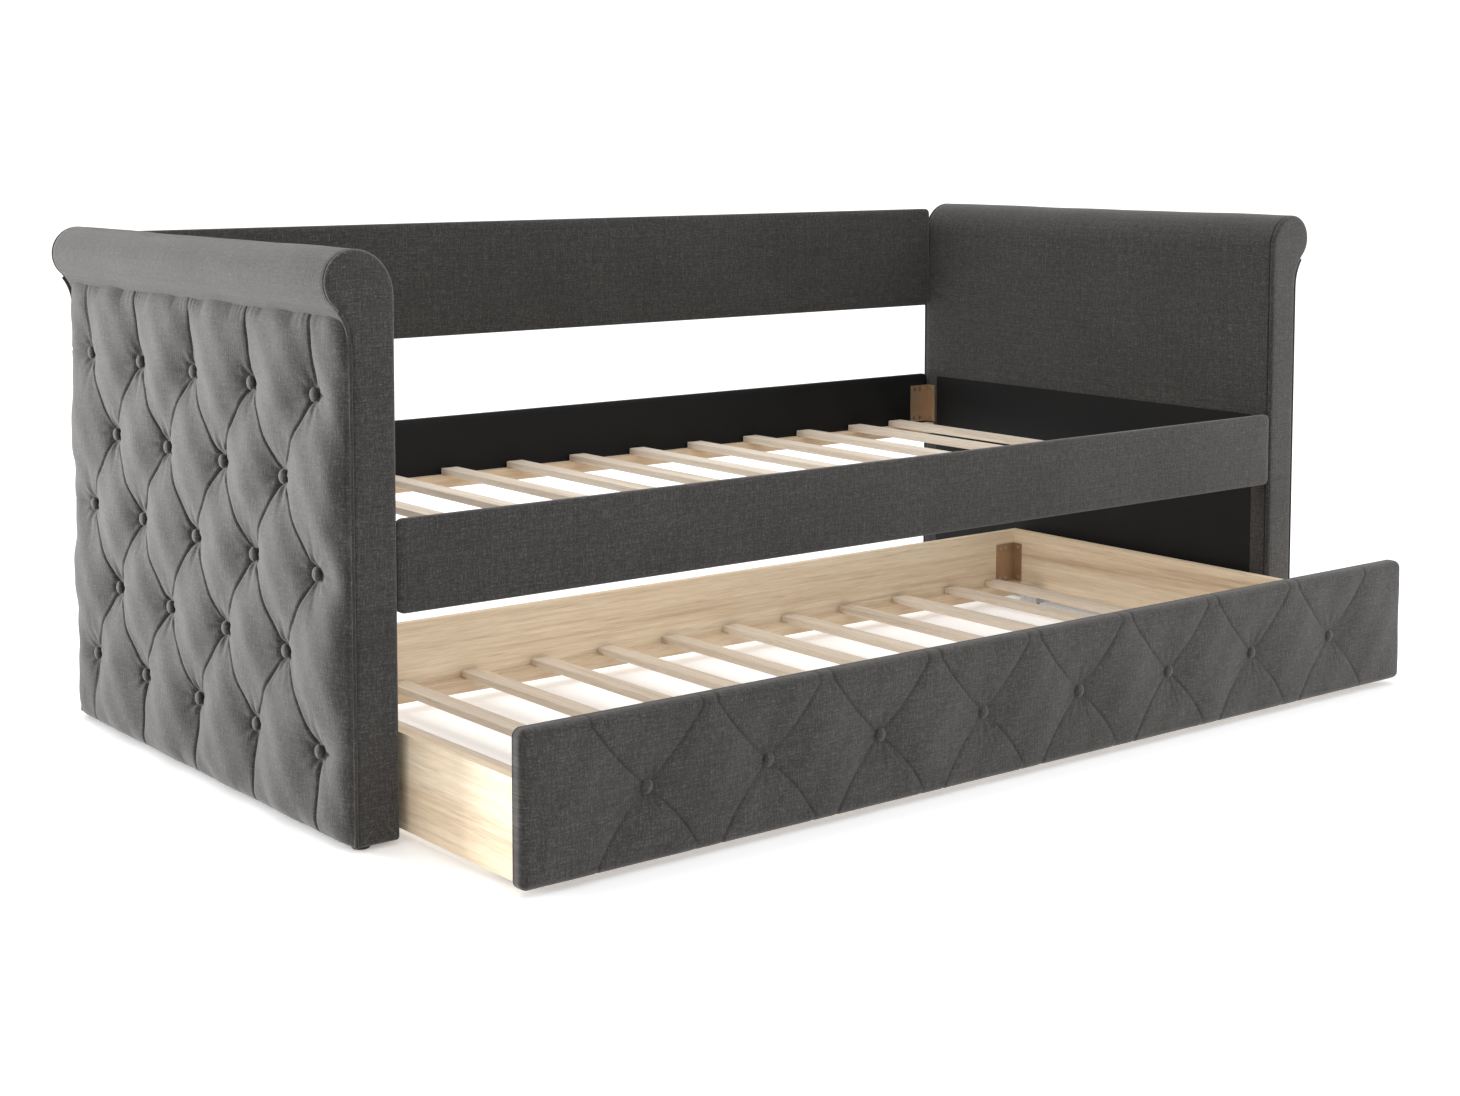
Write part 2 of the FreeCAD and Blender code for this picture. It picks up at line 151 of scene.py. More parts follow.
def swell(points, faces, held, outward, puff, percent):
    # cloth under pressure, held at some points: how far each point goes, at most cap, then all scaled so
    # that the given percentile of the rise is puff
    if looksAway(points, faces, outward):
        faces = faces[:, ::-1]
    mesh = bpy.data.meshes.new("swelling")
    mesh.from_pydata(points.tolist(), [], faces.tolist())
    sample = bpy.data.objects.new("swelling", mesh)
    scene.collection.objects.link(sample)
    group = sample.vertex_groups.new(name="held")
    group.add([int(i) for i in np.flatnonzero(held)], 1.0, "REPLACE")
    cloth = sample.modifiers.new("Cloth", "CLOTH")
    rules = cloth.settings
    rules.vertex_group_mass = "held"
    rules.use_pressure = True
    rules.uniform_pressure_force = puffing["pressure"]
    rules.effector_weights.gravity = 0.0
    rules.mass = 0.2
    rules.quality = 5
    rules.tension_stiffness = 8.0
    rules.compression_stiffness = 8.0
    rules.shear_stiffness = 3.0
    rules.bending_stiffness = 0.3
    cloth.point_cache.frame_start = 1
    cloth.point_cache.frame_end = puffing["frames"]
    for step in range(1, puffing["frames"] + 1):
        scene.frame_set(step)
    seen = sample.evaluated_get(bpy.context.evaluated_depsgraph_get())
    moved = np.zeros(len(points) * 3)
    seen.data.vertices.foreach_get("co", moved)
    move = moved.reshape(-1, 3) - points
    size = np.linalg.norm(move, axis=1, keepdims=True)
    move *= np.minimum(1.0, puffing["cap"] / np.maximum(size, 1e-9))
    bpy.data.objects.remove(sample)
    bpy.data.meshes.remove(mesh)
    scene.frame_set(1)
    return move * puff / max(np.percentile(move @ np.asarray(outward, float), percent), 1e-6)

# finishes

def newMaterial(name, rough=0.7, metal=0.0, specular=0.5):
    material = bpy.data.materials.new(name)
    material.use_nodes = True
    tree = material.node_tree
    shader = tree.nodes["Principled BSDF"]
    shader.inputs["Roughness"].default_value = rough
    shader.inputs["Metallic"].default_value = metal
    shader.inputs["Specular IOR Level"].default_value = specular
    return material, tree, shader


def addNode(tree, kind, **values):
    node = tree.nodes.new(kind)
    for key, value in values.items():
        setattr(node, key, value)
    return node


def place(tree, source, scale, turn=(0, 0, 0)):
    # coordinates stretched by scale, so that a pattern runs along one direction
    node = addNode(tree, "ShaderNodeMapping")
    node.inputs["Scale"].default_value = scale
    node.inputs["Rotation"].default_value = turn
    tree.links.new(source, node.inputs["Vector"])
    return node.outputs["Vector"]


def noise(tree, where, scale, detail=2.0, rough=0.5, warp=0.0):
    node = addNode(tree, "ShaderNodeTexNoise")
    node.inputs["Scale"].default_value = scale
    node.inputs["Detail"].default_value = detail
    node.inputs["Roughness"].default_value = rough
    node.inputs["Distortion"].default_value = warp
    tree.links.new(where, node.inputs["Vector"])
    return node.outputs["Fac"]


def feed(tree, socket, value):
    if isinstance(value, (int, float)):
        socket.default_value = value
    else:
        tree.links.new(value, socket)


def calc(tree, operation, a, b=0.0, c=0.0):
    node = addNode(tree, "ShaderNodeMath", operation=operation)
    for socket, value in zip(node.inputs, (a, b, c)):
        feed(tree, socket, value)
    return node.outputs[0]


def spread(tree, value, low, high, outLow=0.0, outHigh=1.0):
    # runs a pattern's low..high out to outLow..outHigh
    node = addNode(tree, "ShaderNodeMapRange")
    for socket, number in zip(node.inputs, (value, low, high, outLow, outHigh)):
        feed(tree, socket, number)
    return node.outputs[0]


def colours(tree, value, *stops):
    node = addNode(tree, "ShaderNodeValToRGB")
    steps = node.color_ramp.elements
    for i, (at, colour) in enumerate(stops):
        step = steps[i] if i < len(steps) else steps.new(at)
        step.position = at
        step.color = (*colour, 1.0)
    tree.links.new(value, node.inputs["Fac"])
    return node.outputs["Color"]


def scaleColour(tree, colour, factor):
    node = addNode(tree, "ShaderNodeVectorMath", operation="SCALE")
    tree.links.new(colour, node.inputs[0])
    feed(tree, node.inputs["Scale"], factor)
    return node.outputs["Vector"]


def raise_(tree, shader, height, strength, distance):
    bump = addNode(tree, "ShaderNodeBump")
    bump.inputs["Strength"].default_value = strength
    bump.inputs["Distance"].default_value = distance
    tree.links.new(height, bump.inputs["Height"])
    tree.links.new(bump.outputs["Normal"], shader.inputs["Normal"])


fabricLook = {
    "dark": (0.0110, 0.0102, 0.0097),    # threads in the shade of the weave
    "base": (0.0292, 0.0275, 0.0260),
    "light": (0.074, 0.070, 0.066),     # pale flecks of the heathered yarn
    "thread": 640.0,                     # threads per metre
    "slub": 110.0,                       # thick places in the yarn, per metre
    "sheen": 0.22,
    "rough": 0.85,
    "paintedShadeStrength": 0.62,                    # how far painted shade darkens the colour in pleats, seams and dimples
}


def heatheredFabric(name, look):
    # linen-like weave: long thin streaks along both threads, pale flecks, and a fine basket of bumps
    material, tree, shader = newMaterial(name, look["rough"], 0.0, 0.25)
    shader.inputs["Sheen Weight"].default_value = look["sheen"]
    shader.inputs["Sheen Roughness"].default_value = 0.55
    shader.inputs["Sheen Tint"].default_value = (0.92, 0.90, 0.88, 1.0)
    cloth = addNode(tree, "ShaderNodeUVMap", uv_map="cloth").outputs["UV"]
    thread, slub = look["thread"], look["slub"]
    weft = noise(tree, place(tree, cloth, (slub * 0.55, thread * 0.62, 1)), 1.0, 3.0, 0.6)
    warp = noise(tree, place(tree, cloth, (thread * 0.62, slub * 0.55, 1)), 1.0, 3.0, 0.6)
    wideWeft = noise(tree, place(tree, cloth, (7.0, slub * 1.4, 1)), 1.0, 3.0, 0.65)
    wideWarp = noise(tree, place(tree, cloth, (slub * 1.4, 7.0, 1)), 1.0, 3.0, 0.65)
    fleck = noise(tree, place(tree, cloth, (thread * 0.5, thread * 0.5, 1)), 1.0, 1.0, 0.5)
    patch = noise(tree, cloth, 4.0, 3.0, 0.5)
    streaks = calc(tree, "ADD", spread(tree, weft, 0.30, 0.72), spread(tree, warp, 0.30, 0.72))
    wide = calc(tree, "ADD", spread(tree, wideWeft, 0.30, 0.70), spread(tree, wideWarp, 0.30, 0.70))
    tone = calc(tree, "MULTIPLY_ADD", streaks, 0.40, calc(tree, "MULTIPLY_ADD", wide, 0.16, -0.26))
    tone = calc(tree, "MULTIPLY_ADD", spread(tree, fleck, 0.35, 0.70), 0.38, tone)
    tone = calc(tree, "MULTIPLY_ADD", spread(tree, patch, 0.3, 0.7, -0.5, 0.5), 0.10, tone)
    colour = colours(tree, tone, (0.12, look["dark"]), (0.48, look["base"]), (0.92, look["light"]))
    # painted shade: a point attribute darkens the colour in pleats, seams, dimples, round the buttons and under
    # the roll
    paintedShade = addNode(tree, "ShaderNodeAttribute", attribute_name="paintedShade").outputs["Fac"]
    shade = calc(tree, "MULTIPLY_ADD", paintedShade, -look["paintedShadeStrength"], 1.0)
    tree.links.new(scaleColour(tree, colour, shade), shader.inputs["Base Color"])
    weave = calc(tree, "ADD", calc(tree, "ADD", weft, warp), calc(tree, "MULTIPLY", fleck, 0.8))
    raise_(tree, shader, weave, 0.55, 0.0009)
    gloss = spread(tree, fleck, 0.3, 0.7, look["rough"] - 0.08, look["rough"] + 0.1)
    feed(tree, shader.inputs["Roughness"], gloss)
    return material


liningLook = {"dark": (0.0030, 0.0030, 0.0032), "light": (0.0075, 0.0076, 0.0080), "rough": 0.7}


def liningCloth(name, look):
    # spun-bonded black lining: soft blotches with a fine pitted grain
    material, tree, shader = newMaterial(name, look["rough"], 0.0, 0.22)
    where = addNode(tree, "ShaderNodeTexCoord").outputs["Object"]
    grain = noise(tree, where, 420.0, 2.0, 0.6)
    cloud = noise(tree, where, 9.0, 3.0, 0.5)
    tone = calc(tree, "MULTIPLY_ADD", cloud, 0.6, calc(tree, "MULTIPLY", grain, 0.4))
    colour = colours(tree, tone, (0.3, look["dark"]), (0.7, look["light"]))
    tree.links.new(colour, shader.inputs["Base Color"])
    raise_(tree, shader, grain, 0.25, 0.0004)
    feed(tree, shader.inputs["Roughness"], spread(tree, cloud, 0.3, 0.7, 0.55, 0.72))
    return material


def sawnWood(name, tones, along, fleck, rough=0.6):
    # pine-like board: streaks stretched along the grain, slow bands between them and short dark flecks
    material, tree, shader = newMaterial(name, rough, 0.0, 0.35)
    where = addNode(tree, "ShaderNodeTexCoord").outputs["Object"]
    def stretched(grain, cross):
        return place(tree, where, tuple(grain if axis == along else cross for axis in "XYZ"))
    streak = noise(tree, stretched(2.2, 95.0), 1.0, 6.0, 0.68, 0.2)
    band = noise(tree, stretched(0.8, 14.0), 1.0, 3.0, 0.55, 0.5)
    short = noise(tree, stretched(9.0, 190.0), 1.0, 2.0, 0.6)
    pore = noise(tree, stretched(30.0, 620.0), 1.0, 2.0, 0.5)
    tone = calc(tree, "MULTIPLY_ADD", streak, 0.55, calc(tree, "MULTIPLY", band, 0.45))
    pale, tan, brown = tones
    colour = colours(tree, tone, (0.34, brown), (0.47, tan), (0.62, pale))
    mark = spread(tree, short, 0.60, 0.74, 0.0, fleck)
    dark = calc(tree, "SUBTRACT", 1.0, mark)
    dark = calc(tree, "MULTIPLY", dark, spread(tree, pore, 0.35, 0.65, 0.93, 1.04))
    tree.links.new(scaleColour(tree, colour, dark), shader.inputs["Base Color"])
    raise_(tree, shader, calc(tree, "ADD", streak, calc(tree, "MULTIPLY", pore, 0.6)), 0.25, 0.0006)
    feed(tree, shader.inputs["Roughness"], spread(tree, streak, 0.3, 0.7, rough - 0.08, rough + 0.1))
    return material


def plainMetal(name, dark, light, rough, scale, metal=1.0):
    # brushed or lacquered metal: two tones in slow clouds, with fine scratches in the gloss
    material, tree, shader = newMaterial(name, rough, metal)
    where = addNode(tree, "ShaderNodeTexCoord").outputs["Object"]
    cloud = noise(tree, where, scale, 4.0, 0.55)
    scratch = noise(tree, place(tree, where, (900, 900, 60)), 1.0, 2.0, 0.5)
    tree.links.new(colours(tree, cloud, (0.3, dark), (0.7, light)), shader.inputs["Base Color"])
    feed(tree, shader.inputs["Roughness"], spread(tree, scratch, 0.3, 0.7, rough - 0.08, rough + 0.1))
    raise_(tree, shader, scratch, 0.08, 0.0002)
    return material


def mouldedPlastic(name, dark, light, rough):
    # moulded black plastic: even colour with a fine spark-eroded grain
    material, tree, shader = newMaterial(name, rough)
    where = addNode(tree, "ShaderNodeTexCoord").outputs["Object"]
    grain = noise(tree, where, 900.0, 2.0, 0.5)
    cloud = noise(tree, where, 30.0, 3.0, 0.5)
    tree.links.new(colours(tree, cloud, (0.3, dark), (0.7, light)), shader.inputs["Base Color"])
    raise_(tree, shader, grain, 0.15, 0.0002)
    feed(tree, shader.inputs["Roughness"], spread(tree, grain, 0.3, 0.7, rough - 0.05, rough + 0.08))
    return material


fabric = heatheredFabric("charcoalFabric", fabricLook)
lining = liningCloth("blackLining", liningLook)
boardTones = ((0.85, 0.73, 0.56), (0.73, 0.58, 0.41), (0.54, 0.39, 0.25))      # pale, tan and brown
slatTones = ((0.77, 0.68, 0.57), (0.67, 0.57, 0.46), (0.54, 0.44, 0.35))
battenTones = ((0.74, 0.60, 0.44), (0.64, 0.49, 0.34), (0.52, 0.38, 0.25))
postTones = ((0.72, 0.56, 0.37), (0.62, 0.46, 0.28), (0.48, 0.33, 0.19))
sheetTones = ((0.66, 0.50, 0.33), (0.56, 0.41, 0.26), (0.44, 0.30, 0.18))
boardWoodX = sawnWood("boardWoodLengthwise", boardTones, "X", 0.20)
boardWoodY = sawnWood("boardWoodAcross", boardTones, "Y", 0.20)
slatWood = sawnWood("slatWood", slatTones, "Y", 0.16)
battenWood = sawnWood("battenWood", battenTones, "X", 0.20)
postWood = sawnWood("frameTimber", postTones, "Z", 0.35)
sheetWood = sawnWood("plywoodSheet", sheetTones, "Y", 0.22)
bronze = plainMetal("lacqueredSteel", (0.33, 0.21, 0.125), (0.45, 0.30, 0.18), 0.42, 14.0, 0.5)
zinc = plainMetal("zincPlatedSteel", (0.42, 0.43, 0.45), (0.68, 0.69, 0.71), 0.32, 60.0)
wheelPlastic = mouldedPlastic("wheelPlastic", (0.012, 0.012, 0.013), (0.024, 0.024, 0.026), 0.42)
footPlastic = mouldedPlastic("footPlastic", (0.006, 0.006, 0.006), (0.014, 0.014, 0.014), 0.5)
print("finishes made")

finishes = {
    "board_wood": boardWoodX, "slat_wood": slatWood, "frame_timber": postWood, "plywood": sheetWood,
    "bracket_steel": bronze, "zinc_steel": zinc, "wheel_plastic": wheelPlastic,
    "foot_plastic": footPlastic, "charcoal_fabric": fabric, "black_lining": lining,
}
slotOf = {entry["node"]: entry["material_slot"] for entry in frame["record"]["subparts"]}
acrossBoards = ("trundle_left_side", "trundle_right_side")
for name, thing in nodes.items():
    chosen = finishes[slotOf[name]]
    if name in acrossBoards:
        chosen = boardWoodY
    elif "batten" in name:
        chosen = battenWood
    thing.data.materials.clear()
    thing.data.materials.append(chosen)

# camera

cameraView = {
    "place": (-2.65376, -3.19786, 1.04777),
    "turn": (90.0 - 4.58387, 0.0, -38.15312),   # degrees
    "lens": 55.68916,
    "shift": (0.0098, -0.16),
}
lens = bpy.data.cameras.new("studioCamera")
lens.lens = cameraView["lens"]
lens.sensor_width = 36.0
lens.shift_x, lens.shift_y = cameraView["shift"]
lens.clip_end = 60.0
cameraStand = bpy.data.objects.new("studioCamera", lens)
cameraStand.location = cameraView["place"]
cameraStand.rotation_euler = [radians(a) for a in cameraView["turn"]]
scene.collection.objects.link(cameraStand)
scene.camera = cameraStand

# places, in metres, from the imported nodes

coverLow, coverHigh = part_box("right_arm_cover")
liningLow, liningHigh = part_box("right_arm_lining")
bedFront, bedBack = coverLow.y, coverHigh.y
armInner = coverLow.x
armBottom, rollTop = coverLow.z, coverHigh.z

arm = {
    "rollRadius": 0.047,
    "innerRound": 0.070,       # height of the round between the inner face and the top
    "creaseAngle": 70.0,       # degrees below level where the roll meets the tufted side
    "neckAngle": 50.0,         # degrees below level where the end's outline leaves the roll
    "neckDrop": 0.070,         # height of the curve between the roll and the straight welt
    "neckCurve": 2.6,          # power of that curve
    "faceWidth": 0.072,        # front face, inner face to welt
    "edgeRound": 0.007,        # front and back edges of the roll
    "cornerRound": 0.006,      # lower corners of the front face
    "capSwell": 0.0005,        # padding under the front face
    "sag": 0.00048,            # unevenness of the stuffing
    "seamDepth": 0.0026,       # seam round the end of the roll
    "liningStep": 0.0022,      # the cover lies this much deeper behind the lining
    "weltRadius": 0.0030,
    "weltInset": 0.0035,       # from the front or back of the arm
    "weltProud": 0.0006,
}
rollX = coverHigh.x - arm["rollRadius"]
rollZ = rollTop - arm["rollRadius"]
creaseZ = rollZ - arm["rollRadius"] * np.sin(radians(arm["creaseAngle"]))
neckX = rollX + arm["rollRadius"] * np.cos(radians(arm["neckAngle"]))
neckZ = rollZ - arm["rollRadius"] * np.sin(radians(arm["neckAngle"]))
weltX = armInner + arm["faceWidth"]


def weltLine(z):
    # outer edge of the front face: straight, then out to the roll as the height's power neckCurve
    share = np.clip((z - neckZ + arm["neckDrop"]) / arm["neckDrop"], 0.0, 1.0)
    return weltX + (neckX - weltX) * share ** arm["neckCurve"]

# arm covers: inner face, roll and padded ends in one form

def armOutline():
    # closed loop round the arm's end in (x, z): inner face up, quarter ellipse, roll, welt line down, bottom
    r, c = arm["rollRadius"], arm["cornerRound"]
    up = np.linspace(armBottom + c, rollTop - arm["innerRound"], 90)
    inner = np.stack([np.full_like(up, armInner), up], -1)
    a = np.linspace(0, pi / 2, 30)[1:]
    top = np.stack([rollX - (rollX - armInner) * np.cos(a),
                    rollTop - arm["innerRound"] * (1 - np.sin(a))], -1)
    a = np.linspace(pi / 2, -radians(arm["neckAngle"]), 56)[1:]
    roll = np.stack([rollX + r * np.cos(a), rollZ + r * np.sin(a)], -1)
    down = np.concatenate([np.linspace(neckZ, neckZ - arm["neckDrop"], 24)[1:],
                           np.linspace(neckZ - arm["neckDrop"], armBottom + c, 80)[1:]])
    outer = np.stack([weltLine(down), down], -1)
    a = np.linspace(0, -pi / 2, 7)[1:]
    cornerOut = np.stack([weltX - c + c * np.cos(a), armBottom + c + c * np.sin(a)], -1)
    across = np.linspace(weltX - c, armInner + c, 12)[1:]
    under = np.stack([across, np.full_like(across, armBottom)], -1)
    a = np.linspace(-pi / 2, -pi, 7)[1:-1]
    cornerIn = np.stack([armInner + c + c * np.cos(a), armBottom + c + c * np.sin(a)], -1)
    return np.concatenate([inner, top, roll, outer, cornerOut, under, cornerIn])


def armCover(side, label):
    # outline carried from front to back; at each end it rounds over and closes towards a spine line
    loop = armOutline()
    n = len(loop)
    step = np.roll(loop, -1, 0) - np.roll(loop, 1, 0)
    inward = np.stack([step[:, 1], -step[:, 0]], -1)
    inward /= np.linalg.norm(inward, axis=1, keepdims=True)
    middle = (armInner + weltX) / 2
    height = np.clip(loop[:, 1], armBottom + 0.040, rollZ)
    spine = np.stack([middle + (rollX - middle) * ramp(height, rollZ - 0.12, rollZ), height], -1)
    inward *= np.sign((inward * (spine - loop)).sum(-1, keepdims=True))
    length = np.linalg.norm(loop - np.roll(loop, 1, 0), axis=1)
    length[0] = 0.0
    around = np.cumsum(length)
    r = arm["edgeRound"]
    # stations from the front spine to the back: depth from the end, how far in, share towards the spine, painted
    # shade in the seam
    share = np.linspace(0, 1, 12)
    cap = [(-arm["capSwell"] * (1 - f ** 8), r, 1 - f, 0.0) for f in share]
    turn = np.linspace(0, pi / 2, 7)[1:]
    rim = [(r * (1 - np.cos(t)), r * (1 - np.sin(t)), 0.0, 0.0) for t in turn]
    seam = [(r + 0.0004, 0.0006, 0, 0.7), (r + 0.0014, arm["seamDepth"], 0, 1.0),
            (r + 0.0026, 0.0007, 0, 0.8), (r + 0.0050, 0.0, 0, 0.0)]
    ends = cap + rim + seam
    depth = bedBack - bedFront
    body = [(d, 0.0, 0.0, 0.0) for d in np.linspace(r + 0.016, depth - r - 0.016, 64)]
    stations = ends + body + [(depth - d, e, s, f) for d, e, s, f in reversed(ends)]
    d, e, s, f = (np.array(v)[:, None] for v in zip(*stations))
    x = loop[None, :, 0] + inward[None, :, 0] * e
    z = loop[None, :, 1] + inward[None, :, 1] * e
    x = x + (spine[None, :, 0] - x) * s
    z = z + (spine[None, :, 1] - z) * s
    y = bedFront + d + np.zeros_like(x)
    free = (s == 0) & (d > r + 0.01) & (d < depth - r - 0.01)
    # slight unevenness of the stuffing over the roll and inner face
    wave = np.sin(y * 9.3 + around * 7.1) + 0.7 * np.sin(y * 17.0 - around * 12.7 + 1.3)
    wave = wave + 0.5 * np.sin(y * 31 + around * 19)
    soft = ramp(z, liningHigh.z + 0.02, liningHigh.z + 0.10) * free * arm["sag"]
    x = x + inward[None, :, 0] * soft * wave
    z = z + inward[None, :, 1] * soft * wave
    # the fabric steps back where the lining covers it
    behind = ramp(liningHigh.z - z, -0.001, 0.001) * (x < armInner + 0.01)
    behind = behind * ramp(y, liningLow.y - 0.001, liningLow.y + 0.001)
    behind = behind * ramp(-y, -liningHigh.y - 0.001, 0.001 - liningHigh.y)
    x = x + arm["liningStep"] * behind
    # painted shade along the seam round the roll's end; none on the tufted side
    paintedShade = np.broadcast_to(f, x.shape).copy()
    outside = (loop[:, 1] < creaseZ + 0.001) & (loop[:, 0] > weltX - 0.004)
    paintedShade[:, outside] = 0.0
    points = np.stack([side * x, y, z], -1)
    faces = gridFaces(len(stations), n, True)
    ring = faces[:, 0] // n
    column = faces[:, 0] % n
    endFace = (ring < len(cap) + 2) | (ring > len(stations) - len(cap) - 4)
    flat = np.stack([x, z], -1).reshape(-1, 2)[faces]
    wrapV = np.broadcast_to(around, x.shape).reshape(-1)
    rolled = np.stack([y.reshape(-1), wrapV], -1)[faces]
    last = column == n - 1                        # the loop's closing strip runs on, and doesn't jump back
    rolled[last, 1, 1] = rolled[last, 2, 1] = around[-1] + 0.002
    cloth = np.where(endFace[:, None, None], flat, rolled)
    return makePiece(f"{label}ArmCover", points, faces, cloth, paintedShade)


sides = ((-1, "left"), (1, "right"))
for side, label in sides:
    cover = dress(armCover(side, label), fabric, "bed_frame", "charcoal_fabric", f"{label}_arm_cover")
print("arm covers made")

# tufted outer sides

tuft = {
    "crown": 0.0245,           # pad's height over the welt line
    "buttonSink": 0.0180,      # how far the buttons pull it in
    "puff": 0.0032,            # extra swelling of each diamond
    "dimple": 0.0040,          # steeper pull close to a button
    "dimpleReach": 0.026,
    "grooveDepth": 0.0034,     # pleats
    "grooveWidth": 0.0019,
    "sideRise": 0.055,         # width over which the pad rises from the front and back welts
    "topRise": 0.026,
    "bottomRise": 0.030,
    "gather": 0.0006,          # small gathers where the pleats run under the roll
    "gatherPitch": 0.0135,
    "wrinkle": 0.0009,         # rays round each button
    "uneven": 0.0006,
    "endPleat": 0.45,          # strength of the level pleats at the ends, which are faint
    "cells": 34,               # squares across one half diamond
    "coarse": 10,              # and in the cloth simulation
}
buttonRows, buttonEnd = 5, 0.098
buttonLow, buttonDrop = 0.1325, 0.2169
pitchY = (bedBack - bedFront - 2 * buttonEnd) / (2 * (buttonRows - 1))      # half a pitch
pitchZ = (rollTop - buttonDrop - buttonLow) / (buttonRows - 1)
armCentres = np.array([
    ((bedFront + bedBack) / 2 + (column - (buttonRows - row % 2 - 1) / 2) * 2 * pitchY, buttonLow + row * pitchZ)
    for row in range(buttonRows) for column in range(buttonRows - row % 2)])      # (y, z) of each button


def latticeLines(places, count):
    # lattice coordinate and real place of each grid line; the two end cells are finer at their outer edges
    inner = np.arange((len(places) - 3) * count + 1) / count
    share = np.linspace(0, pi / 2, count + 1)
    lattice = np.concatenate([-np.cos(share[:-1]), inner, inner[-1] + np.sin(share[1:])])
    return lattice, np.interp(lattice, np.arange(len(places)) - 1, places)


def tuftGrid(count):
    columns = bedFront + buttonEnd + pitchY * np.arange(2 * buttonRows - 1)
    ys = np.concatenate([[bedFront], columns, [bedBack]])
    zs = np.concatenate([[armBottom], buttonLow + pitchZ * np.arange(buttonRows), [creaseZ]])
    p, y = latticeLines(ys, count)
    q, z = latticeLines(zs, count)
    return np.meshgrid(p, q, indexing="ij") + np.meshgrid(y, z, indexing="ij")


def tuftPull(p, q):
    # 1 at a button, 0 half way along a pleat, -1 in the middle of a diamond: cos(pi p) cos(pi q) inside;
    # outside the last buttons a pleat runs straight to the edge and its pull fades to 0
    endP = np.clip(np.maximum(-p, p - (2 * buttonRows - 2)), 0, 1)
    endQ = np.clip(np.maximum(-q, q - (buttonRows - 1)), 0, 1)
    a, b = np.cos(pi * np.clip(p, 0, 2 * buttonRows - 2)), np.cos(pi * np.clip(q, 0, buttonRows - 1))
    both = a * b
    fade = np.cos(pi / 2 * endP) * np.cos(pi / 2 * endQ)
    return np.where(both > 0, both * fade, both)


def pleatDistance(p, q):
    # metres to the nearest pleat: diagonals inside, level or upright lines in the outer cells
    last, top = 2 * buttonRows - 2, buttonRows - 1
    slope = pitchY * pitchZ / np.hypot(pitchY, pitchZ)
    u, v = np.mod(p, 1.0), np.mod(q, 1.0)
    even = np.mod(np.floor(p) + np.floor(q), 2) == 0
    inside = np.where(even, np.abs(u - v), np.abs(u + v - 1)) * slope
    level = np.abs(q - 2 * np.round(q / 2)) * pitchZ
    upright = np.abs(p - 2 * np.round(p / 2)) * pitchY
    outP, outQ = (p < 0) | (p > last), (q < 0) | (q > top)
    far = np.where(outP & outQ, np.minimum(level, upright), np.where(outP, level, upright))
    return np.where(outP | outQ, far, inside)


def edgeRise(distance, width, power=2.0, root=0.5):
    # (1 - (1 - d/width)^power)^root: 0 at the edge, 1 from width on; 2 and 0.5 give a quarter ellipse
    return (1 - (1 - np.clip(distance / width, 0, 1)) ** power) ** root


def tuftHeight(p, q, y, z):
    # distance out from the bed's middle: welt line + rise at the edges x (crown - pull of the buttons)
    level = np.sqrt((1 - tuftPull(p, q)) / 2)
    out = tuft["crown"] - tuft["buttonSink"] * (1 - level)
    rise = edgeRise(np.minimum(y - bedFront, bedBack - y), tuft["sideRise"], 2.5, 1.0)
    rise = rise * edgeRise(z - armBottom, tuft["bottomRise"]) * edgeRise(creaseZ - z, tuft["topRise"])
    return weltX + out * rise


def tuftFaces(p, q):
    # two triangles to a square, split the way that the pleats run
    rows, cols = p.shape
    quads = gridFaces(rows, cols)
    mid = np.stack([p.reshape(-1)[quads].mean(1), q.reshape(-1)[quads].mean(1)], -1)
    even = np.mod(np.floor(mid[:, 0]) + np.floor(mid[:, 1]), 2) == 0
    a, b, c, d = quads.T
    one = np.where(even[:, None], np.stack([a, b, c], -1), np.stack([a, b, d], -1))
    two = np.where(even[:, None], np.stack([a, c, d], -1), np.stack([b, c, d], -1))
    return np.concatenate([one, two])


def diamondSwelling(p, q, y, z):
    # how far each point of the coarse lattice swells, with the cloth held along pleats and edges
    away = pleatDistance(p, q)
    points = np.stack([tuftHeight(p, q, y, z), y, z], -1).reshape(-1, 3)
    edge = (y <= bedFront) | (y >= bedBack) | (z <= armBottom) | (z >= creaseZ)
    held = (away < 1e-4) | edge
    move = swell(points, tuftFaces(p, q), held.reshape(-1), (1, 0, 0), tuft["puff"], 96)
    return move.reshape(*p.shape, 3)


def refine(values, coarse, fine):
    # carries values from the coarse lattice lines to the fine ones, along both directions
    first = np.stack([[np.interp(fine[0], coarse[0], values[:, j, k]) for j in range(values.shape[1])]
                      for k in range(values.shape[2])], -1)
    first = np.transpose(first, (1, 0, 2))
    return np.stack([[np.interp(fine[1], coarse[1], first[i, :, k]) for i in range(first.shape[0])]
                     for k in range(values.shape[2])], -1)


buttonSeat = weltX + tuft["crown"] - tuft["buttonSink"] - 0.6 * tuft["dimple"]      # fabric under a button


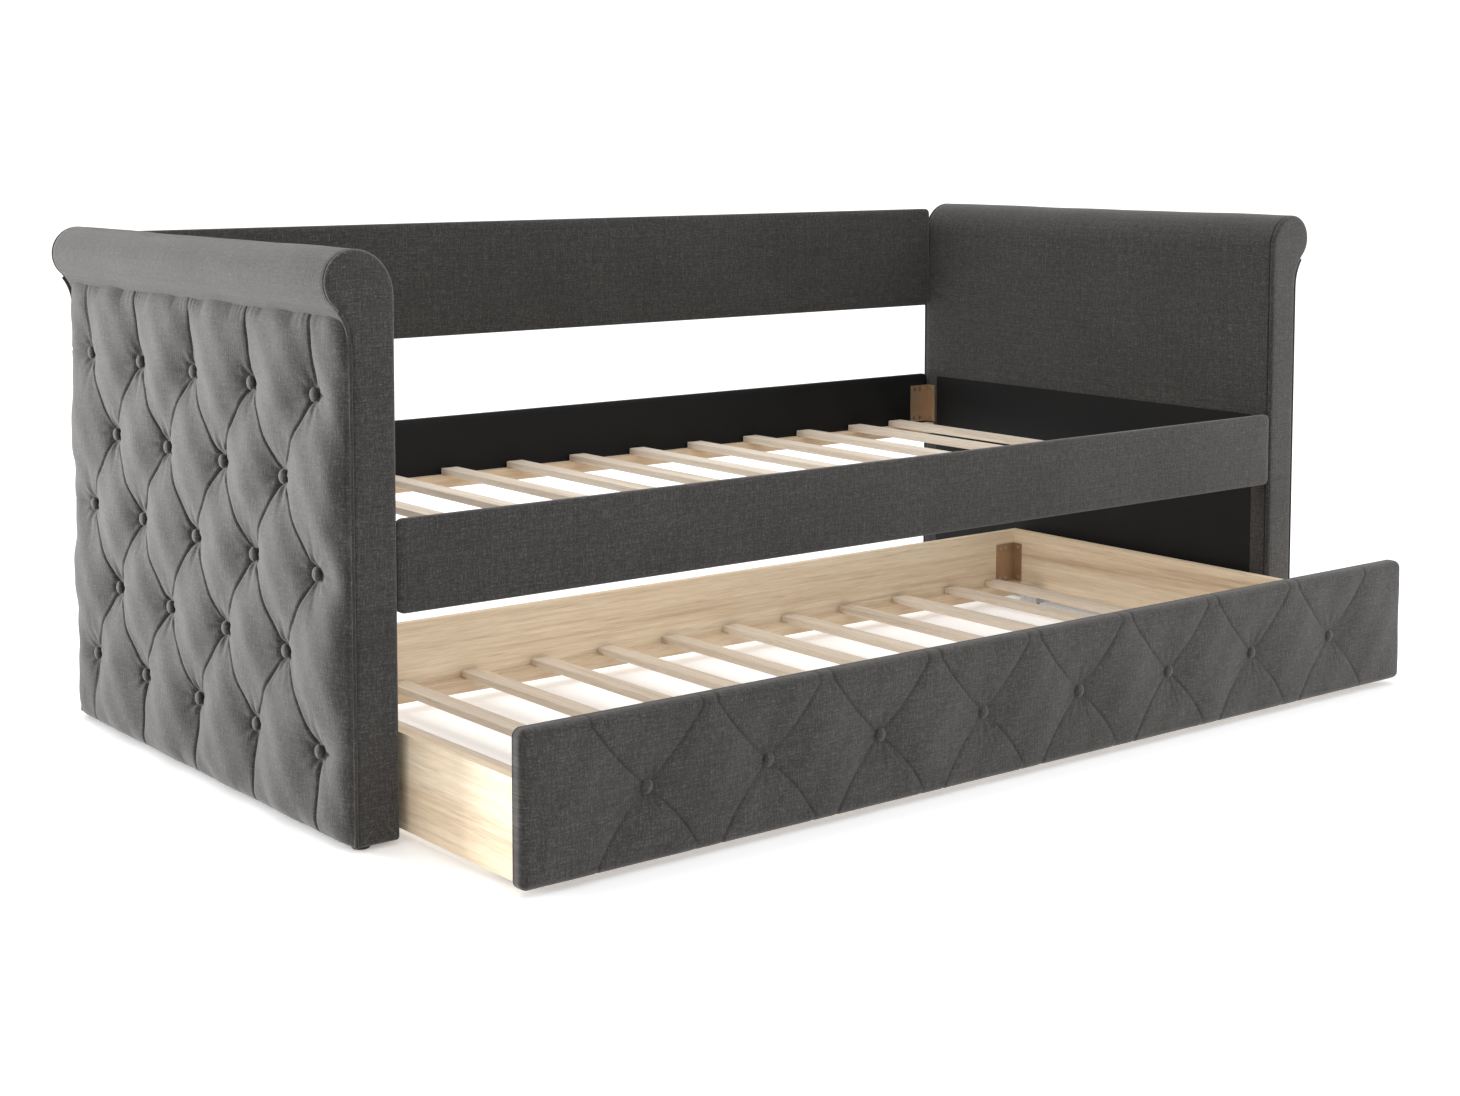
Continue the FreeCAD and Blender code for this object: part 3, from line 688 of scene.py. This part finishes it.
def tuftedSide():
    # the whole side for the right arm: base height + swelling - pleat grooves + rays and gathers
    cp, cq, cy, cz = tuftGrid(tuft["coarse"])
    p, q, y, z = tuftGrid(tuft["cells"])
    move = refine(diamondSwelling(cp, cq, cy, cz), (cp[:, 0], cq[0]), (p[:, 0], q[0]))
    out = tuftHeight(p, q, y, z)
    away = pleatDistance(p, q)
    # nearest button, in metres, and the bearing from it
    dy, dz = y[..., None] - armCentres[:, 0], z[..., None] - armCentres[:, 1]
    nearest = np.hypot(dy, dz).argmin(-1)
    dy, dz = y - armCentres[nearest, 0], z - armCentres[nearest, 1]
    near = np.hypot(dy, dz)
    bearing = np.arctan2(dz, dy)
    rays = tuft["wrinkle"] * np.cos(9 * bearing + nearest * 1.7) * np.exp(-((near - 0.020) / 0.016) ** 2)
    margin = np.minimum(y - bedFront, bedBack - y)
    fade = ramp(np.minimum(margin, z - armBottom), 0.0, 0.012)
    groove = np.exp(-(away / tuft["grooveWidth"]) ** 2) * fade * ramp(near, 0.006, 0.016)
    outer = (p < 0) | (p > 2 * buttonRows - 2)
    strength = np.where(outer, tuft["endPleat"], 1.0)
    drop = creaseZ - z
    upright = np.abs(p - 2 * np.round(p / 2)) * pitchY
    gather = tuft["gather"] * np.cos(2 * pi * y / tuft["gatherPitch"] + 3 * np.sin(y * 40))
    gather = gather * np.exp(-(upright / 0.034) ** 2) * np.exp(-((drop - 0.012) / 0.016) ** 2)
    uneven = np.sin(y * 47 + z * 31) + np.sin(y * 83 - z * 57 + 2.0) + np.sin(z * 101 + y * 13 + 0.7)
    uneven = tuft["uneven"] * uneven * fade
    out = out + move[..., 0] - tuft["grooveDepth"] * groove * strength + (rays + uneven) * fade + gather
    out = out - tuft["dimple"] * np.exp(-near / tuft["dimpleReach"]) * fade
    flat = ramp(near, 0.007, 0.023)                    # the fabric lies flat under each button
    out = buttonSeat + (out - buttonSeat) * flat
    out = np.maximum(out, weltX + 0.0002)
    # painted shade: darker along the pleats, round each button, under the roll's crease and beside the welts
    paintedShade = np.clip(np.exp(-(away / 0.0025) ** 2) * strength * fade * ramp(near, 0.004, 0.012)
                   + 0.45 * np.exp(-near / 0.020) + 0.55 * np.exp(-(drop / 0.006) ** 2)
                   + 0.7 * np.exp(-((margin - 0.0085) / 0.0018) ** 2), 0, 1)
    return p, q, np.stack([out, y + move[..., 1], z + move[..., 2]], -1), paintedShade


tuftP, tuftQ, sidePoints, sidePaintedShade = tuftedSide()
sideFaces = tuftFaces(tuftP, tuftQ)
for side, label in sides:
    points = sidePoints * np.array([side, 1, 1])
    cloth = np.stack([sidePoints[..., 1] * -side, sidePoints[..., 2]], -1)
    pad = makePiece(f"{label}TuftedSide", points, sideFaces, cloth, sidePaintedShade, False, (side, 0, 0))
    dress(pad, fabric, "bed_frame", "charcoal_fabric", f"{label}_arm_outer_pad")
print("tufted sides made")

# covered buttons

buttonShape = {
    "radius": 0.0112, "height": 0.0080, "rim": 0.0016,
    "lift": 0.0022,            # rim in front of the fabric
    "pinch": (0.93, 0.80),     # radius below the rim, as a share
    "foot": -0.003,            # where it ends inside the pad
}
buttonShade = (0, 0, 0, 0, 0, 0.15, 0.55, 1, 1)      # painted shade on each ring, from the crown to the pinched rim where the button sinks in


def buttonForms(centres, outward, upward):
    # dome of revolution: radius R sin(a) and height h cos(a)^0.8, over a pinched rim; one for each centre
    outward, upward = np.asarray(outward, float), np.asarray(upward, float)
    radius, height, rim = (buttonShape[key] for key in ("radius", "height", "rim"))
    a = np.linspace(0, pi / 2, 7)
    reach = np.concatenate([radius * np.sin(a), radius * np.array(buttonShape["pinch"])])
    rise = np.concatenate([rim + (height - rim) * np.cos(a) ** 0.8, [rim * 0.3, buttonShape["foot"]]])
    turn = np.linspace(0, 2 * pi, 21)[:-1]
    u, v = np.outer(reach, np.cos(turn))[..., None], np.outer(reach, np.sin(turn))[..., None]
    local = u * np.cross(upward, outward) + v * upward + rise[:, None, None] * outward
    local = local.reshape(-1, 3)
    number = np.arange(len(centres))[:, None, None]
    points = (np.asarray(centres)[:, None, :] + local[None]).reshape(-1, 3)
    faces = (gridFaces(len(reach), len(turn), True)[None] + number * len(local)).reshape(-1, 4)
    cloth = (np.concatenate([u, v], -1).reshape(1, -1, 2) + number * 0.037).reshape(-1, 2)
    shade = np.repeat(np.array(buttonShade, float), len(turn))
    return points, faces, cloth, np.tile(shade, len(centres))


def armButtonForms(side):
    x = np.full(len(armCentres), side * (buttonSeat + buttonShape["lift"]))
    return buttonForms(np.column_stack([x, armCentres]), (side, 0, 0), (0, 0, 1))


armButtons = joined("armButtonCovers", [armButtonForms(-1), armButtonForms(1)])
dress(armButtons, fabric, "bed_frame", "charcoal_fabric", "arm_buttons")

# welts

def tube(path, radius, count=10):
    # circle carried along an upright path, closed at the ends: centre + r (cos a * side + sin a * up)
    along = np.gradient(path, axis=0)
    along /= np.linalg.norm(along, axis=1, keepdims=True)
    across = np.cross(along, (0.0, 1.0, 0.0))
    across /= np.linalg.norm(across, axis=1, keepdims=True)
    up = np.cross(across, along)
    a = np.linspace(0, 2 * pi, count + 1)[:-1, None]
    ring = path[:, None] + radius * (np.cos(a) * across[:, None] + np.sin(a) * up[:, None])
    first = np.repeat(path[:1, None], count, 1)
    final = np.repeat(path[-1:, None], count, 1)
    ring = np.concatenate([first, ring, final])
    length = np.concatenate([[0], np.cumsum(np.linalg.norm(np.diff(path, axis=0), axis=1))])
    length = np.concatenate([[0], length, length[-1:]])
    cloth = np.stack(np.broadcast_arrays(a.T * 0.004, length[:, None]), -1)
    paintedShade = np.zeros(ring[..., 0].size)
    return ring.reshape(-1, 3), gridFaces(len(ring), count, True), cloth.reshape(-1, 2), paintedShade


def armWelts(side, label):
    # piping down both outer edges of an arm, from the crease to the underside
    z = np.linspace(creaseZ + 0.002, armBottom + 0.002, 120)
    x = side * (weltLine(z) + arm["weltProud"])
    inset = arm["weltInset"]
    paths = [np.stack([x, np.full_like(z, y), z], -1) for y in (bedFront + inset, bedBack - inset)]
    return joined(f"{label}ArmWelts", [tube(path, arm["weltRadius"]) for path in paths])


for side, label in sides:
    dress(armWelts(side, label), fabric, "bed_frame", "charcoal_fabric")
print("buttons and welts made")

# padded slabs: rails, back panel

def slabGrid(x0, x1, z0, z1, corner, cols, rows):
    # grid over a rounded rectangle: sine spacing in the corner strips, so edges and corners turn evenly
    turn = np.sin(np.linspace(0, pi / 2, 7))
    def line(low, high, count):
        middle = np.linspace(low + corner, high - corner, count)
        first = low + corner - corner * turn[::-1]
        last = high - corner + corner * turn
        place = np.concatenate([first[:-1], middle, last[1:]])
        excess = np.concatenate([-turn[::-1][:-1], np.zeros(count), turn[1:]])
        return place, excess
    x, ex = line(x0, x1, cols)
    z, ez = line(z0, z1, rows)
    x, z = np.meshgrid(x, z, indexing="ij")
    ex, ez = np.meshgrid(ex, ez, indexing="ij")
    # elliptical map of each corner square to a quarter disc
    px = x - ex * corner + corner * ex * np.sqrt(1 - ez ** 2 / 2)
    pz = z - ez * corner + corner * ez * np.sqrt(1 - ex ** 2 / 2)
    cosine = np.sqrt(np.clip((1 - ex ** 2) * (1 - ez ** 2), 0, 1))
    return px, pz, cosine


def paddedSlab(name, low, high, corner, edge, swelling, cols, rows):
    # two rounded faces back to back: y runs from each face by edge x (1 - cos), with a soft swelling
    x, z, cosine = slabGrid(low[0], high[0], low[2], high[2], corner, cols, rows)
    u = (x - low[0]) / (high[0] - low[0])
    v = (z - low[2]) / (high[2] - low[2])
    bulge = swelling * (np.clip(16 * u * (1 - u) * 4, 0, 1) * np.clip(4 * v * (1 - v), 0, 1) ** 0.6)
    waves = np.sin(x * 14) * np.sin(z * 40 + 1) + np.sin(x * 31 + 2) * 0.5
    bulge = bulge + swelling * 0.35 * waves * cosine
    front = low[1] + edge * (1 - cosine) - bulge * cosine
    back = high[1] - edge * (1 - cosine) + bulge * cosine
    faces = gridFaces(*x.shape)
    count = x.size
    rim = border(np.arange(count).reshape(x.shape))
    after = np.roll(rim, -1)
    strip = np.stack([rim, after, after + count, rim + count], -1)
    points = np.stack([np.stack([x, y, z], -1) for y in (front, back)]).reshape(-1, 3)
    faces = np.concatenate([faces, faces + count, strip])
    cloth = points[:, [0, 2]][faces]
    # the weave runs on along the edge strip, and crosses it by the slab's thickness
    run = np.concatenate([[0], np.cumsum(np.hypot(np.diff(border(x)), np.diff(border(z))))])
    run = np.append(run, run[-1] + 0.005)
    along = np.stack([run[:-1], run[1:], run[1:], run[:-1]], -1)
    thick = high[1] - low[1]
    cloth[-len(strip):] = np.stack([along, np.broadcast_to([0, 0, thick, thick], along.shape)], -1)
    return makePiece(name, points, faces, cloth)


charcoal = {"slot": "charcoal_fabric", "fill": 0.6, "corner": 0.012}
slabs = {
    "frontRailCover": {**charcoal, "node": "front_rail_cover", "edge": 0.0038, "swelling": 0.0010},
    "backRailCover": {"slot": "black_lining", "fill": 0.4, "corner": 0.012,
                      "node": "back_rail_cover", "edge": 0.0038, "swelling": 0.0006},
    "backPanelCover": {**charcoal, "node": "back_panel_cover", "edge": 0.0040, "swelling": 0.0016},
}
for name, slab in slabs.items():
    low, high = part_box(slab["node"])
    piece = paddedSlab(name, low, high, slab["corner"], slab["edge"], slab["swelling"], 260, 26)
    dress(piece, finishes[slab["slot"]], "bed_frame", slab["slot"], slab["node"])
print("rails and back panel made")

# black lining sheets

def liningSheet(side, label):
    # thin stretched cloth against the arm's inner face, with slow shallow waves
    low, high = liningLow, liningHigh
    y, z = np.meshgrid(np.linspace(low.y, high.y, 90), np.linspace(low.z, high.z, 46), indexing="ij")
    edge = np.minimum(np.minimum(y - low.y, high.y - y), np.minimum(z - low.z, high.z - z))
    wave = 0.0005 * (np.sin(y * 11 + z * 7) + np.sin(y * 23 - z * 17 + 1)) * ramp(edge, 0, 0.05)
    x = armInner + 0.0012 - 0.0006 * ramp(edge, 0.0, 0.004) + wave * 0.6
    points = np.stack([side * x, y, z], -1)
    cloth = np.stack([y, z], -1)
    return makePiece(f"{label}ArmLining", points, gridFaces(*y.shape), cloth, None, False, (-side, 0, 0))


for side, label in sides:
    piece = dress(liningSheet(side, label), lining, "bed_frame", "black_lining", f"{label}_arm_lining")
print("linings made")

# trundle's tufted front

frontPadLow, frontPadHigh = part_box("trundle_front_pad")
frontBoardLow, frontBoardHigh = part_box("trundle_front_board")
drawer = {
    "buttons": 8,
    "endInset": 0.215,         # first button from the board's end
    "buttonZ": 0.121,
    "topSpread": 0.098,        # pleats land this far either side of their button, above
    "bottomSpread": 0.087,     # and below
    "round": 0.013,
    "bow": 0.0070,             # pleats bow outwards
    "sink": 0.0120,            # button seats under the front
    "reach": 0.042,            # width of the dimple
    "proud": 0.0030,           # pillows stand this far in front of the pad's flat face
    "grooveDepth": 0.0015,
    "grooveWidth": 0.0015,
    "puff": 0.0030,
    "deepest": 0.0094,         # the pad's own thickness
    "backOver": 0.0006,        # fabric behind the board
    "pleatShade": 0.0022,      # half width of the painted shade along a pleat
    "pinch": 0.0013,           # pleats' depth over the edges
    "hem": 0.022,
}


def drawerGrid(count):
    # columns at pleat ends, buttons and board ends; rows from rounding to button line to rounding
    # gives x, z, each column's share of its strip, the rows' level q and the buttons' places
    half, r = frontPadHigh.x, drawer["round"]
    centres = np.linspace(-half + drawer["endInset"], half - drawer["endInset"], drawer["buttons"])
    low, high = frontPadLow.z, frontPadHigh.z
    zMid = drawer["buttonZ"]
    share = np.linspace(0, 1, count + 1)
    zRows = np.concatenate([low + r + (zMid - low - r) * share, zMid + (high - r - zMid) * share[1:]])
    q = np.concatenate([share - 1, share[1:]])            # -1 at the lower rounding, 0 on the buttons, 1 above
    spreadAt = np.interp(q, [-1, 1], [drawer["bottomSpread"], drawer["topSpread"]])
    columns, places = [], []
    gap = max(4, count // 4)
    def fill(a, b, n, bow=0.0):              # columns from line a to line b, without b, bowed sideways
        for k in np.linspace(0, 1, n + 1)[:-1]:
            columns.append(a + (b - a) * k + bow * np.sin(k * pi))
            places.append(k)
    fill(np.full_like(q, -half + r), centres[0] - spreadAt, count)
    for i, c in enumerate(centres):
        button = np.full_like(q, c)
        fill(c - spreadAt, button, count, -drawer["bow"])
        fill(button, c + spreadAt, count, drawer["bow"])
        last = i + 1 == len(centres)
        after = np.full_like(q, half - r) if last else centres[i + 1] - spreadAt
        fill(c + spreadAt, after, count if last else gap)
    columns.append(np.full_like(q, half - r))
    places.append(1.0)
    x = np.array(columns)
    return x, np.broadcast_to(zRows, x.shape), np.array(places), q, centres


def drawerRelief(x, z, q, centres, swelling):
    # depth behind the front plane: cone at each button + grooves along its four pleats - swelling
    nearest = centres[np.abs(x[..., None] - centres).argmin(-1)]
    dx, dz = x - nearest, z - drawer["buttonZ"]
    near = np.hypot(dx, dz)
    q = np.broadcast_to(q, x.shape)
    spreadHere = np.interp(q, [-1, 1], [drawer["bottomSpread"], drawer["topSpread"]])
    level = np.abs(q)
    pleatX = level * spreadHere + drawer["bow"] * np.sin(level * pi)
    rise = np.where(dz > 0, frontPadHigh.z - drawer["buttonZ"], drawer["buttonZ"] - frontPadLow.z)
    tilt = rise / np.hypot(rise, spreadHere)
    away = np.abs(np.abs(dx) - pleatX) * tilt
    bearing = np.arctan2(dz, dx)
    sink = drawer["sink"] * np.exp(-near / drawer["reach"])
    groove = drawer["grooveDepth"] * np.exp(-(away / drawer["grooveWidth"]) ** 2) * ramp(near, 0.006, 0.016)
    rays = 0.0008 * np.cos(11 * bearing + nearest * 9) * np.exp(-((near - 0.022) / 0.018) ** 2)
    below = np.clip(-dz / 0.02, 0, 1)
    rays = rays + 0.0007 * np.cos(26 * bearing + nearest * 5) * below * np.exp(-((near - 0.035) / 0.022) ** 2)
    uneven = 0.0005 * (np.sin(x * 37 + z * 21) + np.sin(x * 71 - z * 53 + 1))
    # painted shade: darker along the pleats and round each button
    pleat = np.exp(-(away / drawer["pleatShade"]) ** 2) * ramp(near, 0.004, 0.012)
    paintedShade = np.clip(pleat + 0.75 * np.exp(-near / 0.024), 0, 1)
    depth = sink + groove + rays + uneven + drawer["puff"] - swelling
    full = drawer["deepest"] + drawer["proud"]
    return full * np.tanh(depth / full) - drawer["proud"], paintedShade, away, near


def drawerSwelling(x, z, away, near):
    # cloth swelling between the pleats of a coarse grid
    y = frontPadLow.y + drawer["sink"] * np.exp(-near / drawer["reach"])
    points = np.stack([x, y, z], -1).reshape(-1, 3)
    held = (away < 0.0012) | (near < 0.013)
    held[0, :] = held[-1, :] = held[:, 0] = held[:, -1] = True
    move = swell(points, gridFaces(*x.shape), held.reshape(-1), (0, -1, 0), drawer["puff"], 95)
    return -move[:, 1].reshape(x.shape)


def drawerFront():
    # front face with its tufting, rounded edges, straight sides and a hem round the back, as one form left open
    # in the middle of its back
    cx, cz, coarsePlaces, cq, centres = drawerGrid(10)
    _, _, away, near = drawerRelief(cx, cz, cq, centres, 0.0)
    coarse = drawerSwelling(cx, cz, away, near)
    x, z, places, q, centres = drawerGrid(30)
    # the coarse and fine grids share their lattice, so the swelling is carried across by lattice place
    a, b = (np.concatenate([[0], np.cumsum(np.diff(k) <= 0)]) + k for k in (coarsePlaces, places))
    first = np.stack([np.interp(b, a, coarse[:, j]) for j in range(coarse.shape[1])], 1)
    swelling = np.stack([np.interp(q, cq, line) for line in first])
    relief, paintedShade, _, _ = drawerRelief(x, z, q, centres, swelling)
    # strips round the edges: the outermost rows and columns carried over the rounding and back to the board
    r = drawer["round"]
    thick = frontBoardHigh.y + drawer["backOver"] - frontPadLow.y
    sine = np.concatenate([np.sin(np.linspace(0, pi / 2, 7))[1:], np.ones(4)])
    cosine = np.concatenate([np.cos(np.linspace(0, pi / 2, 7))[1:], np.zeros(4)])
    run = np.concatenate([np.zeros(6), np.linspace(0, 1, 5)[1:]])
    n = len(sine)
    def strips(middle, values, sign=1):      # values on both sides of the front's own rows and columns
        return [np.concatenate([sign * values[::-1], np.full(size, middle), values]) for size in x.shape]
    ex, ez = np.meshgrid(*strips(0.0, sine, -1), indexing="ij")
    turned = np.outer(*strips(1.0, cosine))
    straight = np.maximum.outer(*strips(0.0, run))
    x, z, relief, paintedShade = (np.pad(g, n, mode="edge") for g in (x, z, relief, paintedShade))
    x = x + r * ex * np.sqrt(1 - ez ** 2 / 2)
    z = z + r * ez * np.sqrt(1 - ex ** 2 / 2)
    y = frontPadLow.y + relief * turned + r * (1 - turned) + (thick - r) * straight
    paintedShade = paintedShade * np.clip(1 - straight * 1.5, 0, 1)
    pinch = drawer["pinch"] * paintedShade * (1 - turned)          # pleats still show over the edges
    z = z - np.sign(z - drawer["buttonZ"]) * pinch * (np.abs(ez) > 0.3)
    faces = gridFaces(*x.shape)
    rim = border(np.arange(x.size).reshape(x.shape))
    points = np.stack([x, y, z], -1).reshape(-1, 3)
    # hem behind the board, then the black back cloth is its own piece
    hem = drawer["hem"]
    inner = points[rim]
    inner[:, 0] = np.clip(inner[:, 0], -frontBoardHigh.x + hem, frontBoardHigh.x - hem)
    inner[:, 2] = np.clip(inner[:, 2], frontBoardLow.z + hem, frontBoardHigh.z - hem)
    start = len(points)
    points = np.concatenate([points, inner])
    follow = np.arange(len(rim))
    after = np.roll(follow, -1)
    back = np.stack([rim, np.roll(rim, -1), start + after, start + follow], -1)
    faces = np.concatenate([faces, back])
    paintedShade = np.concatenate([paintedShade.reshape(-1), np.zeros(len(inner))])
    depth = points[:, 1] - frontPadLow.y
    beyond = np.concatenate([(np.sign(ez) * (np.abs(ez) > 0.5)).reshape(-1), np.zeros(len(inner))])
    cloth = np.stack([points[:, 0], points[:, 2] + depth * beyond], -1)
    return makePiece("drawerFrontCover", points, faces, cloth, paintedShade, False, (0, -1, 0)), centres


drawerCover, drawerCentres = drawerFront()
dress(drawerCover, fabric, "trundle", "charcoal_fabric", "trundle_front_pad")

seatY = frontPadLow.y + drawer["sink"] + drawer["puff"] - drawer["proud"] - buttonShape["lift"]
centres = np.array([(x, seatY, drawer["buttonZ"]) for x in drawerCentres])
drawerButtons = makePiece("drawerButtonCovers", *buttonForms(centres, (0, -1, 0), (0, 0, 1)))
dress(drawerButtons, fabric, "trundle", "charcoal_fabric", "trundle_buttons")
print("trundle front made")


def backCloth():
    # flat black cloth behind the trundle's front, edges turned down onto the board
    inset, half = 0.020, frontBoardHigh.x - 0.030        # half ends just inside the side boards
    x, z = np.meshgrid(np.linspace(-half, half, 200),
                       np.linspace(frontBoardLow.z + inset, frontBoardHigh.z - inset, 24), indexing="ij")
    edge = np.minimum(half - np.abs(x), np.minimum(z - z.min(), z.max() - z))
    rise = 0.0006 * ramp(edge, 0, 0.004) + 0.0002 * np.sin(x * 19 + z * 30)
    points = np.stack([x, frontBoardHigh.y + drawer["backOver"] + rise, z], -1)
    cloth = np.stack([x, z], -1)
    piece = makePiece("drawerBackCloth", points, gridFaces(*x.shape), cloth, None, False, (0, 1, 0))
    return piece, (x.max() - x.min(), z.max() - z.min())


backPiece, backSize = backCloth()
dress(backPiece, lining, "trundle", "black_lining")

# studio

studio = {
    "floorColour": (0.90, 0.90, 0.90),
    "floorGlow": 0.28,         # keeps the shadows faint, as on a lit studio floor
    "world": 1.13,
    "aim": (0.0, 0.0, 0.35),
    "key": 12.5, "keyPlace": (-2.6, 2.9, 0.50), "keySize": (0.9, 0.9),
    "keyAim": (-1.36, 0.17, 0.45),
    "keySpread": 40.0,         # degrees; a softbox with a grid, so that it stays off the inside of the bed
    "fill": 4.0, "fillPlace": (-1.0, -6.0, 2.6), "fillSize": (3.0, 3.0),
    "top": 40.0, "topPlace": (0.0, 0.8, 3.6), "topSize": (3.5, 2.0),
    "right": 80.0, "rightPlace": (4.4, -2.5, 0.9), "rightSize": (1.0, 1.0),
}
floorMesh = bpy.data.meshes.new("studioFloor")
reach = 30.0
corners = [(-reach, -reach, 0), (reach, -reach, 0), (reach, reach, 0), (-reach, reach, 0)]
floorMesh.from_pydata(corners, [], [(0, 1, 2, 3)])
floor = bpy.data.objects.new("studioFloor", floorMesh)
scene.collection.objects.link(floor)
floorMaterial, _, floorShader = newMaterial("studioFloor", 0.9, 0.0, 0.1)
floorShader.inputs["Base Color"].default_value = (*studio["floorColour"], 1.0)
floorShader.inputs["Emission Color"].default_value = (1, 1, 1, 1)
floorShader.inputs["Emission Strength"].default_value = studio["floorGlow"]
floorMesh.materials.append(floorMaterial)
floor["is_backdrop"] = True


def softLight(name, power, where, size, aim, spread):
    light = bpy.data.lights.new(name, "AREA")
    light.energy = power
    light.shape = "RECTANGLE"
    light.size, light.size_y = size
    stand = bpy.data.objects.new(name, light)
    stand.location = where
    stand.rotation_euler = (Vector(aim) - Vector(where)).to_track_quat("-Z", "Y").to_euler()
    light.spread = radians(spread)
    scene.collection.objects.link(stand)


for key in ("key", "fill", "top", "right"):
    softLight(key + "Light", studio[key], studio[key + "Place"], studio[key + "Size"],
              studio.get(key + "Aim", studio["aim"]), studio.get(key + "Spread", 180.0))
world = bpy.data.worlds.new("studioWorld")
world.use_nodes = True
world.node_tree.nodes["Background"].inputs["Color"].default_value = (1, 1, 1, 1)
world.node_tree.nodes["Background"].inputs["Strength"].default_value = studio["world"]
scene.world = world
scene.view_settings.view_transform = "Standard"
print("studio made")

low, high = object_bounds()
